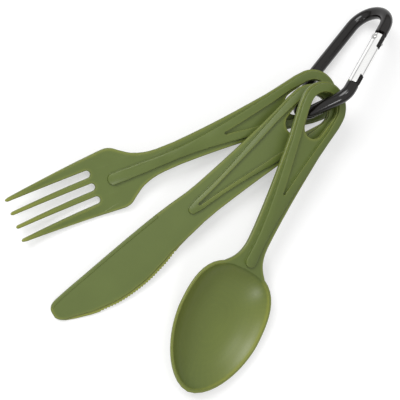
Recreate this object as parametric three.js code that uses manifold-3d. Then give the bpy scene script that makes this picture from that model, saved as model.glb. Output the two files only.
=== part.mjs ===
// Camping cutlery pack: a fork, a knife and a spoon threaded on an accessory carabiner.
// Millimetres, +Z up. The pack lies as it would on a table, whose top is z = 0.
// The origin is the table point under the middle of the pack's box.
import * as THREE from "three";
import { mergeVertices } from "three/addons/utils/BufferGeometryUtils.js";
import Module from "manifold-3d";

const wasm = await Module();
wasm.setup();

// Clearances
const FORK_CLEAR = 0.9; // fork's loop over the carabiner's rod, at the loop's middle
const KNIFE_CLEAR = 2.66; // knife's loop over the fork's
const SPOON_CLEAR = 3.42; // spoon's loop over the knife's
const TURN_CLEAR = 0.3; // round a piece that turns in another
const HEAD_CLEAR = 0.1; // under the rivet's heads

// Cutlery: lengths over all
const FORK_LENGTH = 162.5;
const KNIFE_LENGTH = 162.5;
const SPOON_LENGTH = 153.8;

// Cutlery: handle section and loop, the same on the three mouldings
const PLATE = 1.8; // thickness of the plate that carries the ridge
const RIDGE_HEIGHT = 1.4; // ridge and rails above the plate
const PLATE_ROUND = 0.3;
const RIDGE_ROUND = 0.5;
const LOOP_RADIUS = 12.3; // outside of the loop at the handle's end
const RIM_LEDGE = 0.9; // plate left bare outside the rails of the loop
const RIM_WIDTH = 4.6; // from the loop's outside to the recess
const HOLE_LEDGE = 0.4; // plate left bare between the recess and the hole
const HOLE_LENGTH = 22.5;
const HOLE_FOOT = 5.3; // radius of the hole's end towards the head
const RIDGE_END = 2.7; // radius of the ridge's round end on the fork and the spoon
const RECESS_TIP = 0.7; // radius at the recess's pointed end

// Fork and spoon handles
const NECK_HALF = 5.3; // half width at the neck
const NECK_LEDGE = 3; // plate left bare beside the ridge at the neck
const FORK_NECK = 77; // narrowest place, from the tips
const SPOON_NECK = 73; // narrowest place, from the tip
const FORK_RECESS = 48; // recess point from the loop's centre
const SPOON_RECESS = 44.5;

// Fork head
const TINES = 4;
const TINE_PITCH = 6.2;
const TINE_LENGTH = 39.5;
const SLOT_WIDTH = 3.4; // at the slots' round ends
const TINE_TIP = 1.5; // width of a tine's tip
const FORK_TIP_HALF = 10.3; // half width over the tine tips
const FORK_HEAD_HALF = 14.3; // half width at the shoulders
const FORK_SHOULDER = 49.4; // shoulders from the tips
const FORK_RIDGE_START = 45.2; // ridge's round end from the tips
const FORK_DIP = 7; // belly of the head under the handle
const FORK_BELLY = 29; // lowest place of the head from the tips
const FORK_TIP_RISE = 3; // tips above the belly

// Knife
const KNIFE_NECK_HALF = 7.7;
const KNIFE_NECK = 82; // narrowest place, from the tip
const KNIFE_LEDGE = 4.9; // plate left bare beside the ridge at the neck
const KNIFE_RIDGE_START = 75.6; // ridge's round end from the tip
const KNIFE_RIDGE_END = 2; // its radius
const KNIFE_RECESS = 69.5; // recess point from the loop's centre
const BLADE_BELLY = 12.6; // cutting edge from the axis
const BLADE_BACK = 8.7; // back from the axis
const BLADE_WIDEST = 41; // from the tip
const BEVEL_WIDTH = 1.5; // ground strip along the cutting edge
const EDGE_THICKNESS = 0.9;
const TEETH_START = 17; // first tooth from the tip
const TEETH_END = 60;
const TEETH = 30;
const TOOTH_DEPTH = 0.5;
const BEAD_WIDTH = 1.7; // raised bead along the blade's back
const BEAD_HEIGHT = 0.25;

// Spoon bowl
const BOWL_LENGTH = 61;
const BOWL_HALF = 22.3; // half width
const BOWL_WIDEST = 34; // widest place from the tip
const BOWL_DEPTH = 8.8; // inside, under the rim
const BOWL_WALL = 1.6;
const BOWL_LIP = 1; // width of the flat rim
const TIP_FULLNESS = 1.8; // 2 would be an ellipse
const HEEL_FULLNESS = 2.7;

// Carabiner
const ROD = 5.8; // diameter
const HINGE_BEND = 10.21; // centre-line radius at the hinge end
const FOOT_BEND = 6.07; // centre-line radius at the foot of the nose bar
const HEEL_BEND = 14; // centre-line radius where the spine turns in towards the foot
const HEEL_ANGLE = 20.4; // degrees that the spine turns in
const HEEL_LENGTH = 15.08; // from that corner to the foot bend's centre, along the spine
const SPINE_LENGTH = 32.63; // from that corner to the hinge bend's centre
const GATE_ANGLE = 11.95; // degrees between gate and spine
const BAR_ANGLE = 43.76; // degrees between nose bar and spine
const NOSE_BEND = 7; // centre-line radius
const NOSE_STUB = 2.2; // straight rod from the nose bend to its end
const HINGE_STUB = 4.4; // straight rod from the hinge bend to its end
const GATE_GAP = 0.5; // rod to gate at each end
const TONGUE = 2; // thickness of the rod's two flat tongues
const TONGUE_HALF = 2.7; // half width of a tongue
const NOSE_TONGUE = 4.8; // reach into the gate
const PIVOT_IN = 3.5; // pivot from the gate's end
const HINGE_TONGUE = 4.7; // reach past the pivot
const CAM_RADIUS = 8; // end of the hinge tongue, which the spring presses on
const GATE_CHAMFER = 1.3;
const RIVET = 1.8; // shank diameter
const RIVET_HEAD = 2.8; // head diameter
const SPRING_WIRE = 0.5;
const SPRING_OUTER = 2.8;
const SPRING_TURNS = 7;
const SPRING_LENGTH = 8.5;

// How the pack lies. A heading runs from the loop to the head, in degrees from +X;
// a spot is where the loop's centre stands; a roll lifts the far side, in degrees.
const FORK_HEADING = 204.7;
const FORK_SPOT = [52.21, 49.89];
const FORK_ROLL = 12.2;
const KNIFE_HEADING = 220.2;
const KNIFE_SPOT = [50.09, 41.46];
const KNIFE_ROLL = 5.1;
const SPOON_HEADING = 244.5;
const SPOON_SPOT = [52.82, 41.33];
const SPOON_ROLL = 17.8;
const RING_HEADING = 231.41;
const RING_SPOT = [53.96, 60.4];
const RING_TILT = 58.63;
const RING_PITCH = 0.43; // foot raised

// Looks
const PLASTIC = { color: 0x677240, roughness: 0.42, metalness: 0 };
const BLACK = { color: 0x121110, roughness: 0.22, metalness: 0.6 };
const SILVER = { color: 0xd9d9d6, roughness: 0.18, metalness: 1 };
const STEEL = { color: 0x9a9a98, roughness: 0.3, metalness: 1 };

const rad = THREE.MathUtils.degToRad;
const blend = THREE.MathUtils.smoothstep;
const ROD_RADIUS = ROD / 2;
const HANDLE = PLATE + RIDGE_HEIGHT;
const TURN_STEP = 4.5; // degrees between points on a curved outline
const LONG_STEP = 8; // longest straight run on one

// A closed geometry as a solid
function solidOf(geometry) {
  const bare = geometry.index ? geometry.toNonIndexed() : geometry.clone();
  bare.deleteAttribute("normal");
  bare.deleteAttribute("uv");
  const merged = mergeVertices(bare, 1e-4);
  return new wasm.Manifold(
    new wasm.Mesh({
      numProp: 3,
      vertProperties: new Float32Array(merged.attributes.position.array),
      triVerts: new Uint32Array(merged.index.array),
    }),
  );
}

// A solid as a geometry
function geometryOf(solid) {
  const raw = solid.getMesh();
  const points = [];
  for (let i = 0; i < raw.numVert; i++) {
    const at = i * raw.numProp;
    points.push(raw.vertProperties[at], raw.vertProperties[at + 1], raw.vertProperties[at + 2]);
  }
  const geometry = new THREE.BufferGeometry();
  geometry.setAttribute("position", new THREE.Float32BufferAttribute(points, 3));
  geometry.setIndex([...raw.triVerts]);
  return geometry;
}

function meshOf(name, geometry, look) {
  geometry.computeVertexNormals();
  const mesh = new THREE.Mesh(geometry, new THREE.MeshStandardMaterial(look));
  mesh.name = name;
  return mesh;
}

// A flat outline raised from one height to another, with rounded edges
function slab(outline, from, to, round, steps = 1) {
  const shape = new THREE.Shape(outline);
  const geometry = new THREE.ExtrudeGeometry(shape, {
    depth: to - from - 2 * round,
    bevelEnabled: round > 0,
    bevelThickness: round,
    bevelSize: round,
    bevelOffset: -round,
    bevelSegments: steps,
    steps: 1,
  });
  geometry.translate(0, 0, from + round);
  return geometry;
}

// Points of a smooth line through key points, closer together where it turns
function smooth(keys, longest) {
  const curve = new THREE.SplineCurve(keys.map(([x, y]) => new THREE.Vector2(x, y)));
  const fine = curve.getSpacedPoints(Math.ceil(curve.getLength() / 0.4));
  const kept = [fine[0]];
  let heading = fine[1].clone().sub(fine[0]);
  for (let i = 2; i < fine.length - 1; i++) {
    const course = fine[i].clone().sub(fine[i - 1]);
    const run = fine[i].distanceTo(kept.at(-1));
    if (run < longest && (run < 0.7 || course.angleTo(heading) < rad(TURN_STEP))) continue;
    kept.push(fine[i]);
    heading = course;
  }
  return [...kept, fine.at(-1)];
}

function arc(x, y, radius, from, to, count) {
  const points = [];
  for (let i = 0; i <= count; i++) {
    const angle = rad(from + ((to - from) * i) / count);
    points.push(new THREE.Vector2(x + radius * Math.cos(angle), y + radius * Math.sin(angle)));
  }
  return points;
}

function mirrored(points) {
  return points.map((p) => new THREE.Vector2(p.x, -p.y)).reverse();
}

// Handle edge from the loop to the neck: x runs from the loop's centre to the head
function handleEdge(neckX, neckHalf) {
  const slim = LOOP_RADIUS - neckHalf;
  const shares = [0, 0.04, 0.2, 0.41, 0.56, 0.72, 0.85, 0.95, 1];
  const places = [0, 0.06, 0.15, 0.27, 0.4, 0.55, 0.7, 0.86, 1];
  return shares.map((share, i) => [neckX * places[i], LOOP_RADIUS - slim * share]);
}

// Bare plate beside the rails, narrow at the loop and wide at the neck
function ledgeAt(x, neckX, neckLedge) {
  return RIM_LEDGE + (neckLedge - RIM_LEDGE) * blend(x, 0.15 * neckX, neckX);
}

// Rails and ridge: from the loop, past the neck, to a round end
function ridgeOutline(edge, neckX, neckLedge, endX, end = RIDGE_END) {
  const keys = edge.map(([x, half]) => [x, half - ledgeAt(x, neckX, neckLedge)]);
  const last = keys.at(-1)[1];
  const run = endX - end - neckX;
  const shares = run > 4 * end ? [0.45, 0.75, 0.9] : [];
  for (const share of shares) keys.push([neckX + run * share, last + (end - last) * share]);
  keys.push([endX - end, end]);
  const side = smooth(keys, LONG_STEP);
  return [
    ...arc(0, 0, LOOP_RADIUS - RIM_LEDGE, 270, 90, 30),
    ...side.slice(1),
    ...arc(endX - end, 0, end, 90, -90, 12).slice(1, -1),
    ...mirrored(side).slice(0, -1),
  ];
}

// Recess between the rails: round at the loop, pointed towards the head
function recessOutline(reach) {
  const wide = LOOP_RADIUS - RIM_WIDTH;
  const waist = 0.66 * wide;
  const side = smooth(
    [
      [1, wide],
      [0.2 * reach, 0.91 * wide],
      [0.4 * reach, waist],
      [0.7 * reach, 0.52 * waist],
      [0.91 * reach, 1.4 * RECESS_TIP],
      [reach - RECESS_TIP, RECESS_TIP],
    ],
    LONG_STEP,
  );
  return [...arc(0, 0, wide, 270, 90, 24), ...side, new THREE.Vector2(reach, 0), ...mirrored(side)];
}

// The loop's long round hole
function holeOutline() {
  const wide = LOOP_RADIUS - RIM_WIDTH - HOLE_LEDGE;
  const foot = HOLE_LENGTH - wide - HOLE_FOOT;
  const lean = THREE.MathUtils.radToDeg(Math.asin((wide - HOLE_FOOT) / foot));
  return [...arc(0, 0, wide, 90 - lean, 270 + lean, 24), ...arc(foot, 0, HOLE_FOOT, lean - 90, 90 - lean, 14)];
}

// Plate with the loop's hole, carrying the ridge with its recess
function handleSolid(plateOutline, ridge, recess) {
  const plate = solidOf(slab(plateOutline, 0, PLATE, PLATE_ROUND));
  const top = solidOf(slab(ridge, PLATE / 2, HANDLE, RIDGE_ROUND, 2));
  const well = solidOf(slab(recess, PLATE, HANDLE + 1, 0));
  const hole = solidOf(slab(holeOutline(), -1, HANDLE + 1, 0));
  return plate.add(top).subtract(well).subtract(hole);
}

// Splits the triangles until none is longer than step along x
function refine(geometry, step) {
  const source = geometry.toNonIndexed().attributes.position;
  let soup = [];
  for (let i = 0; i < source.count; i++) soup.push(new THREE.Vector3().fromBufferAttribute(source, i));
  for (let split = true; split; ) {
    split = false;
    const next = [];
    for (let i = 0; i < soup.length; i += 3) {
      const corners = [soup[i], soup[i + 1], soup[i + 2]];
      const spans = corners.map((p, k) => Math.abs(p.x - corners[(k + 1) % 3].x));
      const widest = Math.max(...spans);
      if (widest <= step) {
        next.push(...corners);
        continue;
      }
      split = true;
      const k = spans.indexOf(widest);
      const [a, b, c] = [corners[k], corners[(k + 1) % 3], corners[(k + 2) % 3]];
      const middle = a.clone().add(b).multiplyScalar(0.5);
      next.push(a, middle, c, middle, b, c);
    }
    soup = next;
  }
  const out = new THREE.BufferGeometry().setFromPoints(soup);
  return out;
}

// Lifts each point by the rise at its x
function bend(geometry, rise) {
  const at = geometry.attributes.position;
  for (let i = 0; i < at.count; i++) at.setZ(i, at.getZ(i) + rise(at.getX(i)));
  return mergeVertices(geometry, 1e-4);
}

// Fork outline: loop, handle, shoulders and tines
function forkOutline() {
  const tips = FORK_LENGTH - LOOP_RADIUS;
  const at = (s) => tips - s;
  const headHalf = (share) => FORK_TIP_HALF + (FORK_HEAD_HALF - FORK_TIP_HALF) * share;
  const side = smooth(
    [
      ...handleEdge(at(FORK_NECK), NECK_HALF),
      [at(1.36 * FORK_SHOULDER), 0.06 * FORK_HEAD_HALF + 0.92 * NECK_HALF],
      [at(1.22 * FORK_SHOULDER), 0.26 * FORK_HEAD_HALF + 0.74 * NECK_HALF],
      [at(1.13 * FORK_SHOULDER), 0.56 * FORK_HEAD_HALF + 0.44 * NECK_HALF],
      [at(1.06 * FORK_SHOULDER), 0.86 * FORK_HEAD_HALF + 0.14 * NECK_HALF],
      [at(FORK_SHOULDER), 0.985 * FORK_HEAD_HALF],
      [at(0.93 * FORK_SHOULDER), headHalf(0.93)],
    ],
    LONG_STEP,
  );
  const upper = [...arc(0, 0, LOOP_RADIUS, 180, 90, 17).slice(0, -1), ...side];
  for (const share of [0.74, 0.56, 0.38, 0.2, 0.04]) {
    upper.push(new THREE.Vector2(at(share * FORK_SHOULDER), headHalf(share)));
  }
  const points = [...upper];
  const slots = TINES - 1;
  const root = TINE_LENGTH - SLOT_WIDTH / 2;
  const tipPitch = (2 * FORK_TIP_HALF - TINE_TIP) / slots;
  for (let k = 0; k < slots; k++) {
    const centre = ((slots - 1) / 2 - k) * TINE_PITCH;
    const tipCentre = ((slots - 1) / 2 - k) * tipPitch;
    const open = (tipPitch - TINE_TIP) / 2;
    const wall = (sign, share) => {
      const half = SLOT_WIDTH / 2 + (open - SLOT_WIDTH / 2) * share ** 1.4;
      return new THREE.Vector2(at(root - (root - 0.9) * share), centre + (tipCentre - centre) * share + sign * half);
    };
    points.push(new THREE.Vector2(at(0.3), tipCentre + open + TINE_TIP * 0.8));
    points.push(new THREE.Vector2(at(0), tipCentre + open + TINE_TIP * 0.5));
    points.push(new THREE.Vector2(at(0.3), tipCentre + open + TINE_TIP * 0.2));
    for (const share of [1, 0.75, 0.5, 0.25]) points.push(wall(1, share));
    points.push(...arc(at(root), centre, SLOT_WIDTH / 2, 90, -90, 8).map((p) => new THREE.Vector2(2 * at(root) - p.x, p.y)));
    for (const share of [0.25, 0.5, 0.75, 1]) points.push(wall(-1, share));
  }
  const last = -FORK_TIP_HALF;
  points.push(new THREE.Vector2(at(0.3), last + TINE_TIP * 0.8));
  points.push(new THREE.Vector2(at(0), last + TINE_TIP * 0.5));
  points.push(new THREE.Vector2(at(0.3), last + TINE_TIP * 0.2));
  return [...points, ...mirrored(upper.slice(1))];
}

// Height of the fork's underside: the head dips under the handle and the tips turn up
function forkRise(x) {
  const s = FORK_LENGTH - LOOP_RADIUS - x;
  const dip = FORK_DIP * (1 - blend(s, FORK_BELLY, FORK_NECK));
  const tip = FORK_TIP_RISE * Math.max(0, 1 - s / FORK_BELLY) ** 2;
  return tip - dip;
}

function fork() {
  const neck = FORK_LENGTH - LOOP_RADIUS - FORK_NECK;
  const end = FORK_LENGTH - LOOP_RADIUS - FORK_RIDGE_START;
  const ridge = ridgeOutline(handleEdge(neck, NECK_HALF), neck, NECK_LEDGE, end);
  const flat = handleSolid(forkOutline(), ridge, recessOutline(FORK_RECESS));
  return meshOf("fork", bend(refine(geometryOf(flat), 11), forkRise), PLASTIC);
}

// Knife outline: loop, handle and blade. The cutting edge is on the +y side.
function knifeSides() {
  const tip = KNIFE_LENGTH - LOOP_RADIUS;
  const at = (s) => tip - s;
  const handle = handleEdge(at(KNIFE_NECK), KNIFE_NECK_HALF);
  const edge = smooth(
    [
      ...handle,
      [at(0.9 * KNIFE_NECK), 1.06 * KNIFE_NECK_HALF],
      [at(1.54 * BLADE_WIDEST), 0.73 * BLADE_BELLY],
      [at(1.29 * BLADE_WIDEST), 0.905 * BLADE_BELLY],
      [at(BLADE_WIDEST), BLADE_BELLY],
      [at(0.71 * BLADE_WIDEST), 0.95 * BLADE_BELLY],
      [at(0.49 * BLADE_WIDEST), 0.79 * BLADE_BELLY],
      [at(0.32 * BLADE_WIDEST), 0.6 * BLADE_BELLY],
      [at(0.12 * BLADE_WIDEST), 0.27 * BLADE_BELLY],
      [at(0.04 * BLADE_WIDEST), 0.08 * BLADE_BELLY],
      [at(0), -0.16 * BLADE_BACK],
    ],
    LONG_STEP,
  );
  const back = smooth(
    [
      ...handle,
      [at(0.87 * KNIFE_NECK), 1.09 * KNIFE_NECK_HALF],
      [at(0.73 * KNIFE_NECK), 1.01 * BLADE_BACK],
      [at(BLADE_WIDEST), BLADE_BACK],
      [at(0.46 * BLADE_WIDEST), 0.95 * BLADE_BACK],
      [at(0.2 * BLADE_WIDEST), 0.93 * BLADE_BACK],
      [at(0.07 * BLADE_WIDEST), 0.85 * BLADE_BACK],
      [at(0.015 * BLADE_WIDEST), 0.62 * BLADE_BACK],
      [at(0), 0.2 * BLADE_BACK],
    ],
    LONG_STEP,
  );
  return { edge, back };
}

function knife() {
  const tip = KNIFE_LENGTH - LOOP_RADIUS;
  const at = (s) => tip - s;
  const { edge, back } = knifeSides();
  const loop = arc(0, 0, LOOP_RADIUS, 270, 90, 34).slice(1, -1);
  const full = [...loop, ...edge.slice(0, -1), ...mirrored(back)];
  const start = (x) => blend(x, at(1.13 * TEETH_END), at(0.93 * TEETH_END));
  const ground = (x) => BEVEL_WIDTH * start(x) * (1 - blend(x, at(TEETH_START / 2), at(0)));
  const inset = edge.slice(0, -1).map((p) => new THREE.Vector2(p.x, p.y - ground(p.x)));
  const thick = [...loop, ...inset, ...mirrored(back)];
  const neck = at(KNIFE_NECK);
  const handle = handleEdge(neck, KNIFE_NECK_HALF);
  const ridge = ridgeOutline(handle, neck, KNIFE_LEDGE, at(KNIFE_RIDGE_START), KNIFE_RIDGE_END);
  let solid = handleSolid(thick, ridge, recessOutline(KNIFE_RECESS));
  const strip = full.filter((p) => p.x > at(1.15 * KNIFE_NECK));
  solid = solid.add(solidOf(slab(strip, 0, EDGE_THICKNESS, 0.2)));
  const line = back.filter((p) => p.x > at(0.83 * KNIFE_NECK) && p.x < at(BEAD_WIDTH));
  const inner = line.map((p) => new THREE.Vector2(p.x, p.y - BEAD_WIDTH));
  const bead = mirrored([...line].reverse()).concat(mirrored(inner));
  solid = solid.add(solidOf(slab(bead, PLATE / 2, PLATE + BEAD_HEIGHT, 0.25)));
  const pitch = (TEETH_END - TEETH_START) / TEETH;
  const cutter = [];
  const course = new THREE.SplineCurve(edge);
  const samples = course.getSpacedPoints(400);
  for (let i = 0; i <= 2 * TEETH; i++) {
    const x = at(TEETH_END - (i * pitch) / 2);
    const near = samples.reduce((a, b) => (Math.abs(b.x - x) < Math.abs(a.x - x) ? b : a));
    cutter.push(new THREE.Vector2(x, near.y + (i % 2 ? -TOOTH_DEPTH : 0.02)));
  }
  cutter.push(new THREE.Vector2(at(TEETH_START), BLADE_BELLY + 3), new THREE.Vector2(at(TEETH_END), BLADE_BELLY + 3));
  solid = solid.subtract(solidOf(slab(cutter, -1, HANDLE, 0)));
  return meshOf("knife", geometryOf(solid), PLASTIC);
}

// Bowl outline as a distance from its widest section's middle, by direction
function bowlReach(angle) {
  const forward = Math.cos(angle) > 0;
  const long = forward ? BOWL_WIDEST : BOWL_LENGTH - BOWL_WIDEST;
  const power = forward ? TIP_FULLNESS : HEEL_FULLNESS;
  const along = Math.abs(Math.cos(angle) / long) ** power;
  const across = Math.abs(Math.sin(angle) / BOWL_HALF) ** power;
  return (along + across) ** (-1 / power);
}

// A turned dish stretched to the bowl's outline
function bowlShape(profile) {
  const geometry = new THREE.LatheGeometry(profile, 60);
  geometry.rotateX(Math.PI / 2);
  const at = geometry.attributes.position;
  for (let i = 0; i < at.count; i++) {
    const radius = Math.hypot(at.getX(i), at.getY(i));
    const angle = Math.atan2(at.getY(i), at.getX(i));
    const stretch = bowlReach(angle) / BOWL_HALF;
    at.setX(i, radius * stretch * Math.cos(angle));
    at.setY(i, radius * stretch * Math.sin(angle));
  }
  geometry.translate(SPOON_LENGTH - LOOP_RADIUS - BOWL_WIDEST, 0, PLATE);
  return geometry;
}

function dishCurve(radius, depth, count) {
  const points = [];
  for (let i = 0; i <= count; i++) {
    const share = Math.sin((Math.PI / 2) * (i / count));
    points.push(new THREE.Vector2(radius * share, -depth * (1 - share ** 2.3) ** 0.8));
  }
  return points;
}

function spoon() {
  const tip = SPOON_LENGTH - LOOP_RADIUS;
  const at = (s) => tip - s;
  const inside = dishCurve(BOWL_HALF - BOWL_LIP, BOWL_DEPTH, 13).reverse();
  const outside = dishCurve(BOWL_HALF, BOWL_DEPTH + BOWL_WALL - 1, 11).map((p) => new THREE.Vector2(p.x, p.y - 1));
  const rim = [new THREE.Vector2(BOWL_HALF, -0.2), new THREE.Vector2(BOWL_HALF - 0.2, 0)];
  const bowl = solidOf(bowlShape([...outside, ...rim, ...inside]));
  const cavity = [...dishCurve(BOWL_HALF - BOWL_LIP, BOWL_DEPTH, 13)];
  cavity.push(new THREE.Vector2(BOWL_HALF - BOWL_LIP, HANDLE), new THREE.Vector2(0, HANDLE));
  const neck = at(SPOON_NECK);
  const side = smooth(
    [
      ...handleEdge(neck, NECK_HALF),
      [at(1.1 * BOWL_LENGTH), 1.15 * NECK_HALF],
      [at(1.025 * BOWL_LENGTH), 0.57 * NECK_HALF + 0.24 * BOWL_HALF],
      [at(0.95 * BOWL_LENGTH), 0.57 * BOWL_HALF],
      [at(0.85 * BOWL_LENGTH), 0.82 * BOWL_HALF],
    ],
    LONG_STEP,
  );
  const outline = [...arc(0, 0, LOOP_RADIUS, 270, 90, 34).slice(1, -1), ...side, ...mirrored(side)];
  const ridge = ridgeOutline(handleEdge(neck, NECK_HALF), neck, NECK_LEDGE, at(BOWL_LENGTH));
  const handle = handleSolid(outline, ridge, recessOutline(SPOON_RECESS));
  const solid = handle.subtract(solidOf(bowlShape(cavity))).add(bowl);
  return meshOf("spoon", geometryOf(solid), PLASTIC);
}

// Carabiner rod: stations along its centre line, each with its direction
class RodPath extends THREE.Curve {
  constructor(stations) {
    super();
    this.stations = stations;
  }
  getPoint(t) {
    const station = this.stations[Math.round(t * (this.stations.length - 1))];
    return new THREE.Vector3(station.x, station.y, 0);
  }
  getPointAt(t) {
    return this.getPoint(t);
  }
  getTangentAt(t) {
    const station = this.stations[Math.round(t * (this.stations.length - 1))];
    return new THREE.Vector3(Math.cos(station.heading), Math.sin(station.heading), 0);
  }
}

// Bend stations, turning to the left
function bendStations(x, y, radius, from, to, count) {
  return arc(x, y, radius, from, to, count).map((p, i) => ({
    x: p.x,
    y: p.y,
    heading: rad(from + ((to - from) * i) / count + 90),
  }));
}

// Places on the carabiner: x runs along the spine towards the foot bend, y across to the gate
function ringPlan() {
  const heelDir = new THREE.Vector2(Math.cos(rad(HEEL_ANGLE)), Math.sin(rad(HEEL_ANGLE)));
  const hinge = new THREE.Vector2(-SPINE_LENGTH, HINGE_BEND);
  const heelTrim = HEEL_BEND * Math.tan(rad(HEEL_ANGLE / 2));
  const heel = new THREE.Vector2(-heelTrim, HEEL_BEND);
  const footRise = HEEL_LENGTH * Math.tan(rad(HEEL_ANGLE)) + FOOT_BEND / heelDir.x;
  const foot = new THREE.Vector2(HEEL_LENGTH, footRise);
  const gateDir = new THREE.Vector2(Math.cos(rad(GATE_ANGLE)), Math.sin(rad(GATE_ANGLE)));
  const barDir = new THREE.Vector2(-Math.cos(rad(BAR_ANGLE)), Math.sin(rad(BAR_ANGLE)));
  const gateStart = hinge.clone().add(new THREE.Vector2(-gateDir.y, gateDir.x).multiplyScalar(HINGE_BEND));
  const barStart = foot.clone().add(new THREE.Vector2(barDir.y, -barDir.x).multiplyScalar(FOOT_BEND));
  const apart = barStart.clone().sub(gateStart);
  const cross = gateDir.x * barDir.y - gateDir.y * barDir.x;
  const corner = (apart.x * barDir.y - apart.y * barDir.x) / cross;
  const trim = NOSE_BEND * Math.tan(rad((GATE_ANGLE + BAR_ANGLE) / 2));
  const noseStart = gateStart.clone().addScaledVector(gateDir, corner - trim);
  const noseCentre = noseStart.clone().add(new THREE.Vector2(gateDir.y, -gateDir.x).multiplyScalar(NOSE_BEND));
  const gateLength = corner - trim - NOSE_STUB - HINGE_STUB - 2 * GATE_GAP;
  const pivot = gateStart.clone().addScaledVector(gateDir, HINGE_STUB + GATE_GAP + PIVOT_IN);
  return { hinge, heel, foot, gateDir, gateStart, noseStart, noseCentre, gateLength, pivot };
}

// A flat tongue along the gate's line, between two distances from the pivot
function tongue(plan, from, to, roundEnd) {
  const outline = roundEnd
    ? [
        new THREE.Vector2(from, -TONGUE_HALF),
        ...arc(to - CAM_RADIUS, 0, CAM_RADIUS, -18, 18, 8),
        new THREE.Vector2(from, TONGUE_HALF),
      ]
    : [
        new THREE.Vector2(from, -TONGUE_HALF),
        new THREE.Vector2(to, -TONGUE_HALF),
        new THREE.Vector2(to, TONGUE_HALF),
        new THREE.Vector2(from, TONGUE_HALF),
      ];
  const geometry = slab(outline, -TONGUE / 2, TONGUE / 2, 0);
  geometry.rotateZ(rad(GATE_ANGLE));
  geometry.translate(plan.pivot.x, plan.pivot.y, 0);
  return solidOf(geometry);
}

function carabinerBody(plan) {
  const start = plan.gateStart.clone().addScaledVector(plan.gateDir, HINGE_STUB);
  const end = plan.noseStart.clone().addScaledVector(plan.gateDir, -NOSE_STUB);
  const stations = [
    { x: start.x, y: start.y, heading: rad(180 + GATE_ANGLE) },
    ...bendStations(plan.hinge.x, plan.hinge.y, HINGE_BEND, 90 + GATE_ANGLE, 270, 16),
    ...bendStations(plan.heel.x, plan.heel.y, HEEL_BEND, -90, -90 + HEEL_ANGLE, 3),
    ...bendStations(plan.foot.x, plan.foot.y, FOOT_BEND, -90 + HEEL_ANGLE, 90 - BAR_ANGLE, 12),
    ...bendStations(plan.noseCentre.x, plan.noseCentre.y, NOSE_BEND, 90 - BAR_ANGLE, 90 + GATE_ANGLE, 5),
    { x: end.x, y: end.y, heading: rad(180 + GATE_ANGLE) },
  ];
  const circle = new THREE.Shape(arc(0, 0, ROD_RADIUS, 0, 360, 18).slice(0, -1));
  const rod = new THREE.ExtrudeGeometry(circle, {
    steps: stations.length - 1,
    extrudePath: new RodPath(stations),
    bevelEnabled: false,
  });
  const far = plan.gateLength - PIVOT_IN;
  const hole = new THREE.CylinderGeometry(RIVET / 2 + HEAD_CLEAR, RIVET / 2 + HEAD_CLEAR, ROD, 20);
  hole.rotateX(Math.PI / 2);
  hole.translate(plan.pivot.x, plan.pivot.y, 0);
  const solid = solidOf(rod)
    .add(tongue(plan, -PIVOT_IN - GATE_GAP - 1, HINGE_TONGUE, true))
    .add(tongue(plan, far - NOSE_TONGUE, far + GATE_GAP + 1, false))
    .subtract(solidOf(hole));
  return meshOf("carabiner_body", geometryOf(solid), BLACK);
}

// Gate along x with the pivot at the origin
function carabinerGate(plan) {
  const back = -PIVOT_IN;
  const front = plan.gateLength - PIVOT_IN;
  const turned = new THREE.LatheGeometry(
    [
      new THREE.Vector2(0, back),
      new THREE.Vector2(ROD_RADIUS - GATE_CHAMFER, back),
      new THREE.Vector2(ROD_RADIUS - GATE_CHAMFER / 3, back + GATE_CHAMFER / 2),
      new THREE.Vector2(ROD_RADIUS, back + GATE_CHAMFER),
      new THREE.Vector2(ROD_RADIUS, front - 0.4),
      new THREE.Vector2(ROD_RADIUS - 0.4, front),
      new THREE.Vector2(0, front),
    ],
    28,
  );
  turned.rotateZ(-Math.PI / 2);
  const slotWidth = TONGUE + 2 * TURN_CLEAR;
  const hingeSlot = new THREE.BoxGeometry(PIVOT_IN + HINGE_TONGUE + TURN_CLEAR + 2, ROD + 2, slotWidth);
  hingeSlot.translate(back - 2 + (PIVOT_IN + HINGE_TONGUE + TURN_CLEAR + 2) / 2, 0, 0);
  const noseSlot = new THREE.BoxGeometry(NOSE_TONGUE + TURN_CLEAR + 2, ROD + 2, slotWidth);
  noseSlot.translate(front + 2 - (NOSE_TONGUE + TURN_CLEAR + 2) / 2, 0, 0);
  const hole = new THREE.CylinderGeometry(RIVET / 2 + HEAD_CLEAR, RIVET / 2 + HEAD_CLEAR, ROD + 2, 20);
  hole.rotateX(Math.PI / 2);
  const bore = SPRING_OUTER / 2 + TURN_CLEAR;
  const boreEnd = HINGE_TONGUE + 2 * TURN_CLEAR + SPRING_LENGTH + TURN_CLEAR;
  const well = new THREE.CylinderGeometry(bore, bore, boreEnd - HINGE_TONGUE + 1, 20);
  well.rotateZ(Math.PI / 2);
  well.translate((boreEnd + HINGE_TONGUE - 1) / 2, 0, 0);
  const solid = solidOf(turned)
    .subtract(solidOf(hingeSlot))
    .subtract(solidOf(noseSlot))
    .subtract(solidOf(hole))
    .subtract(solidOf(well));
  return meshOf("carabiner_gate", geometryOf(solid), SILVER);
}

// Rivet along z through gate and tongue, with a low domed head at each end
function gateRivet() {
  const seat = ROD_RADIUS + HEAD_CLEAR;
  const head = RIVET_HEAD / 2;
  const half = [
    new THREE.Vector2(RIVET / 2, seat),
    new THREE.Vector2(head, seat),
    new THREE.Vector2(head * 0.85, seat + 0.3),
    new THREE.Vector2(head * 0.5, seat + 0.5),
    new THREE.Vector2(0, seat + 0.55),
  ];
  const profile = [...half.map((p) => new THREE.Vector2(p.x, -p.y)).reverse(), ...half];
  const turned = new THREE.LatheGeometry(profile, 20);
  turned.rotateX(Math.PI / 2);
  return meshOf("gate_rivet", turned, STEEL);
}

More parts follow.
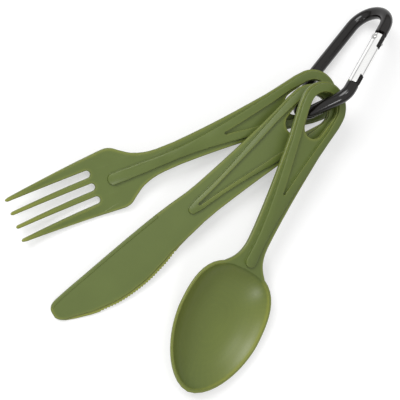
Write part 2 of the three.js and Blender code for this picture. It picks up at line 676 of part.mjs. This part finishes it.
// Coil spring in the gate's bore, along x
function gateSpring() {
  class Helix extends THREE.Curve {
    getPoint(t) {
      const angle = 2 * Math.PI * SPRING_TURNS * t;
      const radius = (SPRING_OUTER - SPRING_WIRE) / 2;
      const run = SPRING_LENGTH - SPRING_WIRE;
      return new THREE.Vector3(SPRING_WIRE / 2 + run * t, radius * Math.cos(angle), radius * Math.sin(angle));
    }
  }
  const wire = new THREE.Shape(arc(0, 0, SPRING_WIRE / 2, 0, 360, 5).slice(0, -1));
  const coil = new THREE.ExtrudeGeometry(wire, {
    steps: SPRING_TURNS * 9,
    extrudePath: new Helix(),
    bevelEnabled: false,
  });
  coil.translate(HINGE_TONGUE + 2 * TURN_CLEAR, 0, 0);
  return meshOf("gate_spring", geometryOf(solidOf(coil)), STEEL);
}

function carabiner() {
  const plan = ringPlan();
  const ring = new THREE.Group();
  ring.name = "carabiner";
  ring.rotation.set(rad(RING_TILT), rad(-RING_PITCH), rad(RING_HEADING), "ZYX");
  ring.position.set(RING_SPOT[0], RING_SPOT[1], ROD_RADIUS + SPINE_LENGTH * Math.sin(rad(RING_PITCH)));
  const swing = new THREE.Group();
  swing.name = "gate";
  swing.position.set(plan.pivot.x, plan.pivot.y, 0);
  swing.rotation.z = rad(GATE_ANGLE);
  swing.add(carabinerGate(plan), gateSpring(), gateRivet());
  ring.add(carabinerBody(plan), swing);
  return ring;
}

// Turns a piece to its heading and roll with the loop at a height, and lowers its head to the table
function lay(mesh, heading, spot, roll, height) {
  const along = new THREE.Vector3(1, 0, 0);
  const at = mesh.geometry.attributes.position;
  const turn = (pitch) => {
    const q = new THREE.Quaternion().setFromAxisAngle(new THREE.Vector3(0, 0, 1), rad(heading));
    q.multiply(new THREE.Quaternion().setFromAxisAngle(new THREE.Vector3(0, 1, 0), pitch));
    return q.multiply(new THREE.Quaternion().setFromAxisAngle(along, rad(-roll)));
  };
  const lowest = (pitch) => {
    const q = turn(pitch);
    const p = new THREE.Vector3();
    let low = Infinity;
    for (let i = 0; i < at.count; i++) low = Math.min(low, p.fromBufferAttribute(at, i).applyQuaternion(q).z);
    return low + height;
  };
  let high = -0.3;
  let low = 0.5;
  for (let i = 0; i < 30; i++) {
    const middle = (high + low) / 2;
    if (lowest(middle) < 0) low = middle;
    else high = middle;
  }
  mesh.quaternion.copy(turn(high));
  mesh.position.set(spot[0], spot[1], height);
  mesh.updateMatrixWorld(true);
}

function cutleryPack() {
  const pack = new THREE.Group();
  pack.name = "cutlery_pack";
  const ring = carabiner();
  const forkMesh = fork();
  const knifeMesh = knife();
  const spoonMesh = spoon();
  const forkHeight = ROD + FORK_CLEAR;
  const knifeHeight = forkHeight + HANDLE + KNIFE_CLEAR;
  const spoonHeight = knifeHeight + HANDLE + SPOON_CLEAR;
  lay(forkMesh, FORK_HEADING, FORK_SPOT, FORK_ROLL, forkHeight);
  lay(knifeMesh, KNIFE_HEADING, KNIFE_SPOT, KNIFE_ROLL, knifeHeight);
  lay(spoonMesh, SPOON_HEADING, SPOON_SPOT, SPOON_ROLL, spoonHeight);
  pack.add(forkMesh, knifeMesh, spoonMesh, ring);
  const box = new THREE.Box3().setFromObject(pack, true);
  const middle = box.getCenter(new THREE.Vector3());
  pack.position.set(-middle.x, -middle.y, -box.min.z);
  return pack;
}

const pack = cutleryPack();
export default pack;
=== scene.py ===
import math

import bpy
from bpy.props import FloatProperty, FloatVectorProperty, PointerProperty
from mathutils import Matrix, Vector

bl_info = {
    "name": "Camping Cutlery Pack",
    "version": (1, 0, 0),
    "blender": (4, 5, 0),
    "location": "3D Viewport > Sidebar > Cutlery Pack",
    "description": "Dresses a fork, knife and spoon on a carabiner and lights them on a pale table",
    "category": "Object",
}

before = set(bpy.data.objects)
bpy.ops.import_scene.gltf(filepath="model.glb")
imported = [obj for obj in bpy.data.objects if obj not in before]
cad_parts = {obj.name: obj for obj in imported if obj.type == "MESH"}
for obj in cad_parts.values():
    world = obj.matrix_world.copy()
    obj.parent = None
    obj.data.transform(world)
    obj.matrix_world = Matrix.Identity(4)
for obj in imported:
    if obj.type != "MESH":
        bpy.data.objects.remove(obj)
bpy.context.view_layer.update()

# Lengths are in metres and angles, where not said otherwise, in degrees

# The photograph looks down steeply, from the left and a little from the front
CAMERA_FROM_TARGET = Vector((-0.09917, -0.05726, 0.45932))
TARGET = Vector((-0.00026, -0.003554, 0.0))
CLIP_START = 0.01

# The name, the place and the width of each lamp; all of them face the origin
KEY_LAMP = ("Key Lamp", (-0.5, 0.42, 0.85), 0.6)
OVERHEAD_PANEL = ("Overhead Panel", (-0.02, 0.1, 0.8), 0.22)
FRONT_PANEL = ("Front Panel", (-0.14, -0.62, 0.5), 0.2)

# The room's strength at table level and overhead, as shares of the Room Light value
ROOM_LOW = 0.35
ROOM_HIGH = 1.25
# How far up, with 1 straight overhead, that light goes on growing
ROOM_RISE = 0.85
# What glossy surfaces see instead: the strength low down, the strength above and where it is reached
SHINE_LOW = 0.3
SHINE_HIGH = 1.0
SHINE_RISE = 0.45

# The paper's own grey and the glow that makes it white to the camera and in reflections
PAPER_COLOUR = (0.58, 0.58, 0.58)
PAPER_ROUGHNESS = 0.9
PAPER_GLOW = 0.46

# A surface stays smooth where it turns by less than this from face to face
MOULDING_ANGLE = 24.0
ROD_ANGLE = 35.0
GATE_ANGLE = 30.0
RIVET_ANGLE = 35.0
SPRING_ANGLE = 50.0
# Corners of faces nearer to each other than this are one corner
WELD_DISTANCE = 0.000002

# Where plastic is thinner than the reach, a yellower colour is painted in: painted light coming
# through the thin edge. The band runs from full tint to none, as the share of directions in which
# the plastic is thicker, and the tint is the most of that painted light that is mixed in
THIN_REACH = 0.002
THIN_BAND = (0.25, 0.66)
THIN_LIGHT_TINT = 0.8
# How round the sharp edges of a moulding look
EDGE_ROUND = 0.00035
# How deep the grain is and how strongly light is bent at the surface
PLASTIC_GRAIN_DEPTH = 0.0002
PLASTIC_IOR = 1.49
METAL_GRAIN_DEPTH = 0.0001
ROD_IOR = 1.5
# Strength of the grain on the rod and on bright metal, whose patches are smaller
ROD_GRAIN = 0.04
BRIGHT_GRAIN = 0.05
BRIGHT_PATCH_SCALE = 220.0
# The rivet and the spring
STEEL_COLOUR = (0.5, 0.5, 0.49)
STEEL_ROUGHNESS = 0.3

# The panel's boxes: a label, the scene's name for the values, the values and the button
PANEL_BOXES = (
    (
        "Cutlery",
        "cutlery_plastic",
        ("colour", "thin_light_colour", "roughness", "grain"),
        "cutlery.mouldings",
    ),
    (
        "Carabiner",
        "carabiner_finish",
        ("rod_colour", "gate_colour", "rod_roughness", "gate_roughness"),
        "cutlery.carabiner",
    ),
    (
        "Stage",
        "cutlery_stage",
        ("table_size", "lens_angle", "key_power", "panel_power", "front_power", "sky_strength"),
        "cutlery.stage",
    ),
)


class CutleryPlastic(bpy.types.PropertyGroup):
    """Colours and finish of the three mouldings"""

    colour: FloatVectorProperty(
        name="Colour",
        description="Olive green of the plastic",
        subtype="COLOR",
        size=3,
        min=0.0,
        max=1.0,
        default=(0.104, 0.138, 0.031),
    )
    thin_light_colour: FloatVectorProperty(
        name="Thin Edge Colour",
        description="Yellower green where light comes through a thin edge",
        subtype="COLOR",
        size=3,
        min=0.0,
        max=1.0,
        default=(0.26, 0.28, 0.05),
    )
    roughness: FloatProperty(
        name="Roughness",
        description="Mean roughness of the moulded surface",
        subtype="FACTOR",
        min=0.0,
        max=1.0,
        default=0.34,
    )
    grain: FloatProperty(
        name="Grain",
        description="Strength of the fine moulded grain",
        subtype="FACTOR",
        min=0.0,
        max=1.0,
        default=0.06,
    )


class CarabinerFinish(bpy.types.PropertyGroup):
    """Colours and finish of the carabiner"""

    rod_colour: FloatVectorProperty(
        name="Rod Colour",
        description="Black of the anodised rod",
        subtype="COLOR",
        size=3,
        min=0.0,
        max=1.0,
        default=(0.006, 0.005, 0.0045),
    )
    gate_colour: FloatVectorProperty(
        name="Gate Colour",
        description="Bright metal of the gate",
        subtype="COLOR",
        size=3,
        min=0.0,
        max=1.0,
        default=(0.93, 0.93, 0.92),
    )
    rod_roughness: FloatProperty(
        name="Rod Roughness",
        description="Mean roughness of the rod",
        subtype="FACTOR",
        min=0.0,
        max=1.0,
        default=0.14,
    )
    gate_roughness: FloatProperty(
        name="Gate Roughness",
        description="Mean roughness of the gate",
        subtype="FACTOR",
        min=0.0,
        max=1.0,
        default=0.14,
    )


class StageSetup(bpy.types.PropertyGroup):
    """Table, lamps and camera"""

    table_size: FloatProperty(
        name="Table Size",
        description="Side of the square table top",
        subtype="DISTANCE",
        min=0.5,
        default=6.0,
    )
    lens_angle: FloatProperty(
        name="Lens Angle",
        description="Field of view of the camera",
        subtype="ANGLE",
        min=0.05,
        max=2.0,
        default=math.radians(22.0),
    )
    key_power: FloatProperty(
        name="Key Power",
        description="Power of the large lamp at the back left",
        subtype="POWER",
        min=0.0,
        default=6.5,
    )
    panel_power: FloatProperty(
        name="Panel Power",
        description="Power of the small panel overhead",
        subtype="POWER",
        min=0.0,
        default=0.9,
    )
    front_power: FloatProperty(
        name="Front Power",
        description="Power of the low panel in front",
        subtype="POWER",
        min=0.0,
        default=1.3,
    )
    sky_strength: FloatProperty(
        name="Room Light",
        description="Strength of the soft light from all round",
        min=0.0,
        default=0.42,
    )


def add_node(tree, kind, at, **values):
    node = tree.nodes.new(kind)
    node.location = at
    for key, value in values.items():
        setattr(node, key, value)
    return node


def set_inputs(node, **values):
    """Set inputs by name, with an underscore for each space"""
    for key, value in values.items():
        node.inputs[key.replace("_", " ")].default_value = value


def finish_group():
    """Node group: soft patches of tone, uneven gloss and a fine grain, all in object space"""
    tree = bpy.data.node_groups.new("Surface Variation", "ShaderNodeTree")
    face = tree.interface
    for name, kind, default in (
        ("Base Color", "NodeSocketColor", (0.5, 0.5, 0.5, 1.0)),
        ("Tone Amount", "NodeSocketFloat", 0.06),
        ("Roughness", "NodeSocketFloat", 0.4),
        ("Roughness Amount", "NodeSocketFloat", 0.08),
        ("Patch Scale", "NodeSocketFloat", 60.0),
        ("Grain Scale", "NodeSocketFloat", 2600.0),
    ):
        socket = face.new_socket(name=name, in_out="INPUT", socket_type=kind)
        socket.default_value = default
    for name, kind in (
        ("Color", "NodeSocketColor"),
        ("Roughness", "NodeSocketFloat"),
        ("Grain", "NodeSocketFloat"),
    ):
        face.new_socket(name=name, in_out="OUTPUT", socket_type=kind)
    entry = add_node(tree, "NodeGroupInput", (-900, 0))
    leave = add_node(tree, "NodeGroupOutput", (700, 0))
    place = add_node(tree, "ShaderNodeTexCoord", (-700, -300))
    patches = add_node(tree, "ShaderNodeTexNoise", (-450, 150))
    set_inputs(patches, Detail=3.0, Roughness=0.55)
    grain = add_node(tree, "ShaderNodeTexNoise", (-450, -250))
    set_inputs(grain, Detail=2.0, Roughness=0.6)
    centre = add_node(tree, "ShaderNodeMath", (-200, 150), operation="SUBTRACT")
    centre.inputs[1].default_value = 0.5
    tone = add_node(tree, "ShaderNodeMath", (0, 200), operation="MULTIPLY_ADD")
    tone.inputs[2].default_value = 1.0
    shade = add_node(tree, "ShaderNodeVectorMath", (250, 200), operation="SCALE")
    gloss = add_node(tree, "ShaderNodeMath", (250, 0), operation="MULTIPLY_ADD")
    join = tree.links.new
    join(place.outputs["Object"], patches.inputs["Vector"])
    join(place.outputs["Object"], grain.inputs["Vector"])
    join(entry.outputs["Patch Scale"], patches.inputs["Scale"])
    join(entry.outputs["Grain Scale"], grain.inputs["Scale"])
    join(patches.outputs["Fac"], centre.inputs[0])
    join(centre.outputs[0], tone.inputs[0])
    join(entry.outputs["Tone Amount"], tone.inputs[1])
    join(entry.outputs["Base Color"], shade.inputs[0])
    join(tone.outputs[0], shade.inputs["Scale"])
    join(centre.outputs[0], gloss.inputs[0])
    join(entry.outputs["Roughness Amount"], gloss.inputs[1])
    join(entry.outputs["Roughness"], gloss.inputs[2])
    join(shade.outputs[0], leave.inputs["Color"])
    join(gloss.outputs[0], leave.inputs["Roughness"])
    join(grain.outputs["Fac"], leave.inputs["Grain"])
    return tree


def varied_surface(name, colour, roughness, **amounts):
    """A material whose colour and gloss come from the node group"""
    material = bpy.data.materials.new(name)
    material.use_nodes = True
    tree = material.node_tree
    tree.nodes.clear()
    shader = add_node(tree, "ShaderNodeBsdfPrincipled", (300, 0))
    output = add_node(tree, "ShaderNodeOutputMaterial", (650, 0))
    group = bpy.data.node_groups.get("Surface Variation") or finish_group()
    vary = add_node(tree, "ShaderNodeGroup", (-500, 100), node_tree=group)
    set_inputs(vary, Base_Color=(*colour, 1.0), Roughness=roughness, **amounts)
    join = tree.links.new
    join(vary.outputs["Color"], shader.inputs["Base Color"])
    join(vary.outputs["Roughness"], shader.inputs["Roughness"])
    join(shader.outputs["BSDF"], output.inputs["Surface"])
    return material, shader, vary


def add_grain(tree, shader, vary, strength, depth):
    """Bump from the node group's grain"""
    bump = add_node(tree, "ShaderNodeBump", (-100, -300))
    set_inputs(bump, Strength=strength, Distance=depth)
    tree.links.new(vary.outputs["Grain"], bump.inputs["Height"])
    tree.links.new(bump.outputs["Normal"], shader.inputs["Normal"])
    return bump


def plastic_material(props):
    """Semi-gloss moulded plastic, with painted light: a yellower colour where an edge is thin"""
    material, shader, vary = varied_surface(
        "Olive Plastic", props.colour, props.roughness, Tone_Amount=0.22, Roughness_Amount=0.12
    )
    set_inputs(shader, IOR=PLASTIC_IOR, Specular_IOR_Level=0.38)
    tree = material.node_tree
    bump = add_grain(tree, shader, vary, props.grain, PLASTIC_GRAIN_DEPTH)
    soft = add_node(tree, "ShaderNodeBevel", (-400, -500), samples=6)
    set_inputs(soft, Radius=EDGE_ROUND)
    # Painted light: where the plastic is thin, a yellower base colour stands in for light coming
    # through the edge
    thin = add_node(
        tree, "ShaderNodeAmbientOcclusion", (-700, -250), samples=8, inside=True, only_local=True
    )
    set_inputs(thin, Distance=THIN_REACH)
    band = add_node(tree, "ShaderNodeMapRange", (-450, -250))
    thinnest, thickest = THIN_BAND
    set_inputs(band, From_Min=thinnest, From_Max=thickest, To_Min=THIN_LIGHT_TINT, To_Max=0.0)
    # Mixes the painted edge light into the base colour
    mix = add_node(tree, "ShaderNodeMix", (-150, 50), data_type="RGBA")
    set_inputs(mix, B=(*props.thin_light_colour, 1.0))
    join = tree.links.new
    join(soft.outputs["Normal"], bump.inputs["Normal"])
    join(thin.outputs["AO"], band.inputs["Value"])
    join(band.outputs["Result"], mix.inputs["Factor"])
    join(vary.outputs["Color"], mix.inputs["A"])
    join(mix.outputs["Result"], shader.inputs["Base Color"])
    return material


def rod_material(props):
    """Glossy black anodising with a faint grain"""
    material, shader, vary = varied_surface(
        "Black Anodised Rod",
        props.rod_colour,
        props.rod_roughness,
        Tone_Amount=0.5,
        Roughness_Amount=0.1,
    )
    set_inputs(shader, IOR=ROD_IOR, Specular_IOR_Level=0.35, Coat_Weight=0.06, Coat_Roughness=0.05)
    add_grain(material.node_tree, shader, vary, ROD_GRAIN, METAL_GRAIN_DEPTH)
    return material


def bright_material(name, colour, roughness):
    """Polished or plain bright metal with a faint grain"""
    material, shader, vary = varied_surface(
        name,
        colour,
        roughness,
        Tone_Amount=0.1,
        Roughness_Amount=0.14,
        Patch_Scale=BRIGHT_PATCH_SCALE,
    )
    set_inputs(shader, Metallic=1.0)
    add_grain(material.node_tree, shader, vary, BRIGHT_GRAIN, METAL_GRAIN_DEPTH)
    return material


def paper_material():
    """White paper that stays white to the eye and in reflections, and keeps a soft shadow"""
    material, shader, _ = varied_surface(
        "White Paper", PAPER_COLOUR, PAPER_ROUGHNESS, Tone_Amount=0.01, Patch_Scale=8.0
    )
    set_inputs(shader, Specular_IOR_Level=0.0, Emission_Color=(1, 1, 1, 1))
    tree = material.node_tree
    path = add_node(tree, "ShaderNodeLightPath", (-700, -250))
    seen = add_node(tree, "ShaderNodeMath", (-450, -250), operation="MAXIMUM")
    glow = add_node(tree, "ShaderNodeMath", (-150, -250), operation="MULTIPLY")
    glow.inputs[1].default_value = PAPER_GLOW
    join = tree.links.new
    join(path.outputs["Is Camera Ray"], seen.inputs[0])
    join(path.outputs["Is Glossy Ray"], seen.inputs[1])
    join(seen.outputs[0], glow.inputs[0])
    join(glow.outputs[0], shader.inputs["Emission Strength"])
    return material


def smooth_group():
    """Node group: weld the corners and smooth the faces, with an edge sharp from the angle on"""
    tree = bpy.data.node_groups.new("Smooth Below Angle", "GeometryNodeTree")
    face = tree.interface
    face.new_socket(name="Geometry", in_out="INPUT", socket_type="NodeSocketGeometry")
    face.new_socket(name="Angle", in_out="INPUT", socket_type="NodeSocketFloat")
    face.new_socket(name="Geometry", in_out="OUTPUT", socket_type="NodeSocketGeometry")
    entry = add_node(tree, "NodeGroupInput", (-600, 0))
    leave = add_node(tree, "NodeGroupOutput", (500, 0))
    weld = add_node(tree, "GeometryNodeMergeByDistance", (-350, 0))
    set_inputs(weld, Distance=WELD_DISTANCE)
    turn = add_node(tree, "GeometryNodeInputMeshEdgeAngle", (-600, -200))
    small = add_node(
        tree, "FunctionNodeCompare", (-350, -200), data_type="FLOAT", operation="LESS_THAN"
    )
    faces = add_node(tree, "GeometryNodeSetShadeSmooth", (-100, 0), domain="FACE")
    edges = add_node(tree, "GeometryNodeSetShadeSmooth", (200, 0), domain="EDGE")
    join = tree.links.new
    join(entry.outputs["Geometry"], weld.inputs["Geometry"])
    join(weld.outputs["Geometry"], faces.inputs["Geometry"])
    join(faces.outputs["Geometry"], edges.inputs["Geometry"])
    join(turn.outputs["Unsigned Angle"], small.inputs["A"])
    join(entry.outputs["Angle"], small.inputs["B"])
    join(small.outputs["Result"], edges.inputs["Shade Smooth"])
    join(edges.outputs["Geometry"], leave.inputs["Geometry"])
    return tree


def smooth_below(obj, degrees):
    group = bpy.data.node_groups.get("Smooth Below Angle") or smooth_group()
    modifier = obj.modifiers.new("Smooth Below Angle", "NODES")
    modifier.node_group = group
    for item in group.interface.items_tree:
        if item.item_type == "SOCKET" and item.name == "Angle":
            modifier[item.identifier] = math.radians(degrees)


def dress(node, material, degrees):
    """Give a piece of the frame its material and smooth it"""
    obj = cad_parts[node]
    obj.data.materials.clear()
    obj.data.materials.append(material)
    smooth_below(obj, degrees)


def area_lamp(name, place, size, power):
    lamp = bpy.data.lights.new(name, "AREA")
    lamp.shape = "DISK"
    lamp.size = size
    lamp.energy = power
    obj = bpy.data.objects.new(name, lamp)
    bpy.context.scene.collection.objects.link(obj)
    obj.location = place
    obj.rotation_euler = (-Vector(place)).to_track_quat("-Z", "Y").to_euler()
    return obj


def table_top(size):
    half = size / 2
    corners = [(-half, -half, 0), (half, -half, 0), (half, half, 0), (-half, half, 0)]
    mesh = bpy.data.meshes.new("Table Top")
    mesh.from_pydata(corners, [], [(0, 1, 2, 3)])
    mesh.materials.append(paper_material())
    table = bpy.data.objects.new("Table Top", mesh)
    bpy.context.scene.collection.objects.link(table)
    return table


def room_light(strength):
    """A room that is brighter overhead than at the level of the table"""
    world = bpy.data.worlds.new("Even Room Light")
    world.use_nodes = True
    tree = world.node_tree
    background = tree.nodes["Background"]
    set_inputs(background, Color=(1, 1, 1, 1))
    place = add_node(tree, "ShaderNodeTexCoord", (-900, -100))
    split = add_node(tree, "ShaderNodeSeparateXYZ", (-700, -100))
    level = add_node(tree, "ShaderNodeMapRange", (-450, -100), interpolation_type="SMOOTHSTEP")
    set_inputs(level, From_Max=ROOM_RISE, To_Min=ROOM_LOW * strength, To_Max=ROOM_HIGH * strength)
    shine = add_node(tree, "ShaderNodeMapRange", (-450, -400), interpolation_type="SMOOTHSTEP")
    set_inputs(shine, From_Max=SHINE_RISE, To_Min=SHINE_LOW, To_Max=SHINE_HIGH)
    path = add_node(tree, "ShaderNodeLightPath", (-450, 200))
    pick = add_node(tree, "ShaderNodeMix", (-200, 0), data_type="FLOAT")
    join = tree.links.new
    join(place.outputs["Generated"], split.inputs["Vector"])
    join(split.outputs["Z"], level.inputs["Value"])
    join(split.outputs["Z"], shine.inputs["Value"])
    join(path.outputs["Is Glossy Ray"], pick.inputs["Factor"])
    join(level.outputs["Result"], pick.inputs["A"])
    join(shine.outputs["Result"], pick.inputs["B"])
    join(pick.outputs["Result"], background.inputs["Strength"])
    return world


def photo_camera(lens_angle):
    """The camera of the photograph, with the table's +Y upwards in the picture"""
    data = bpy.data.cameras.new("Photo Camera")
    data.sensor_fit = "HORIZONTAL"
    data.angle = lens_angle
    data.clip_start = CLIP_START
    camera = bpy.data.objects.new("Photo Camera", data)
    bpy.context.scene.collection.objects.link(camera)
    back = CAMERA_FROM_TARGET.normalized()
    up = (Vector((0, 1, 0)) - back * back.y).normalized()
    side = up.cross(back)
    turn = Matrix((side, up, back)).transposed().to_4x4()
    camera.matrix_world = Matrix.Translation(TARGET + CAMERA_FROM_TARGET) @ turn
    return camera


class CUTLERY_OT_mouldings(bpy.types.Operator):
    """Give the fork, the knife and the spoon their plastic"""

    bl_idname = "cutlery.mouldings"
    bl_label = "Cutlery"

    def execute(self, context):
        material = plastic_material(context.scene.cutlery_plastic)
        for node in ("fork", "knife", "spoon"):
            dress(node, material, MOULDING_ANGLE)
        return {"FINISHED"}


class CUTLERY_OT_carabiner(bpy.types.Operator):
    """Give the carabiner's rod, gate, rivet and spring their metals"""

    bl_idname = "cutlery.carabiner"
    bl_label = "Carabiner"

    def execute(self, context):
        props = context.scene.carabiner_finish
        polished = bright_material("Polished Gate", props.gate_colour, props.gate_roughness)
        steel = bright_material("Plain Steel", STEEL_COLOUR, STEEL_ROUGHNESS)
        dress("carabiner_body", rod_material(props), ROD_ANGLE)
        dress("carabiner_gate", polished, GATE_ANGLE)
        dress("gate_rivet", steel, RIVET_ANGLE)
        dress("gate_spring", steel, SPRING_ANGLE)
        return {"FINISHED"}


class CUTLERY_OT_stage(bpy.types.Operator):
    """Add the pale table, the soft light and the camera"""

    bl_idname = "cutlery.stage"
    bl_label = "Stage"

    def execute(self, context):
        scene = context.scene
        props = scene.cutlery_stage
        table = table_top(props.table_size)
        key = area_lamp(*KEY_LAMP, props.key_power)
        panel = area_lamp(*OVERHEAD_PANEL, props.panel_power)
        front = area_lamp(*FRONT_PANEL, props.front_power)
        scene.world = room_light(props.sky_strength)
        scene.view_settings.view_transform = "Standard"
        scene.camera = photo_camera(props.lens_angle)
        return {"FINISHED"}


class CUTLERY_PT_panel(bpy.types.Panel):
    """Values and buttons of the cutlery pack"""

    bl_label = "Cutlery Pack"
    bl_idname = "CUTLERY_PT_panel"
    bl_space_type = "VIEW_3D"
    bl_region_type = "UI"
    bl_category = "Cutlery Pack"

    def draw(self, context):
        for label, group, fields, operator in PANEL_BOXES:
            props = getattr(context.scene, group)
            box = self.layout.box()
            box.label(text=label)
            for field in fields:
                box.prop(props, field)
            box.operator(operator)


classes = (
    CutleryPlastic,
    CarabinerFinish,
    StageSetup,
    CUTLERY_OT_mouldings,
    CUTLERY_OT_carabiner,
    CUTLERY_OT_stage,
    CUTLERY_PT_panel,
)


def register():
    for cls in classes:
        bpy.utils.register_class(cls)
    bpy.types.Scene.cutlery_plastic = PointerProperty(type=CutleryPlastic)
    bpy.types.Scene.carabiner_finish = PointerProperty(type=CarabinerFinish)
    bpy.types.Scene.cutlery_stage = PointerProperty(type=StageSetup)


def unregister():
    del bpy.types.Scene.cutlery_stage
    del bpy.types.Scene.carabiner_finish
    del bpy.types.Scene.cutlery_plastic
    for cls in reversed(classes):
        bpy.utils.unregister_class(cls)


def main():
    register()
    bpy.ops.cutlery.mouldings()
    bpy.ops.cutlery.carabiner()
    bpy.ops.cutlery.stage()


if __name__ == "__main__":
    main()
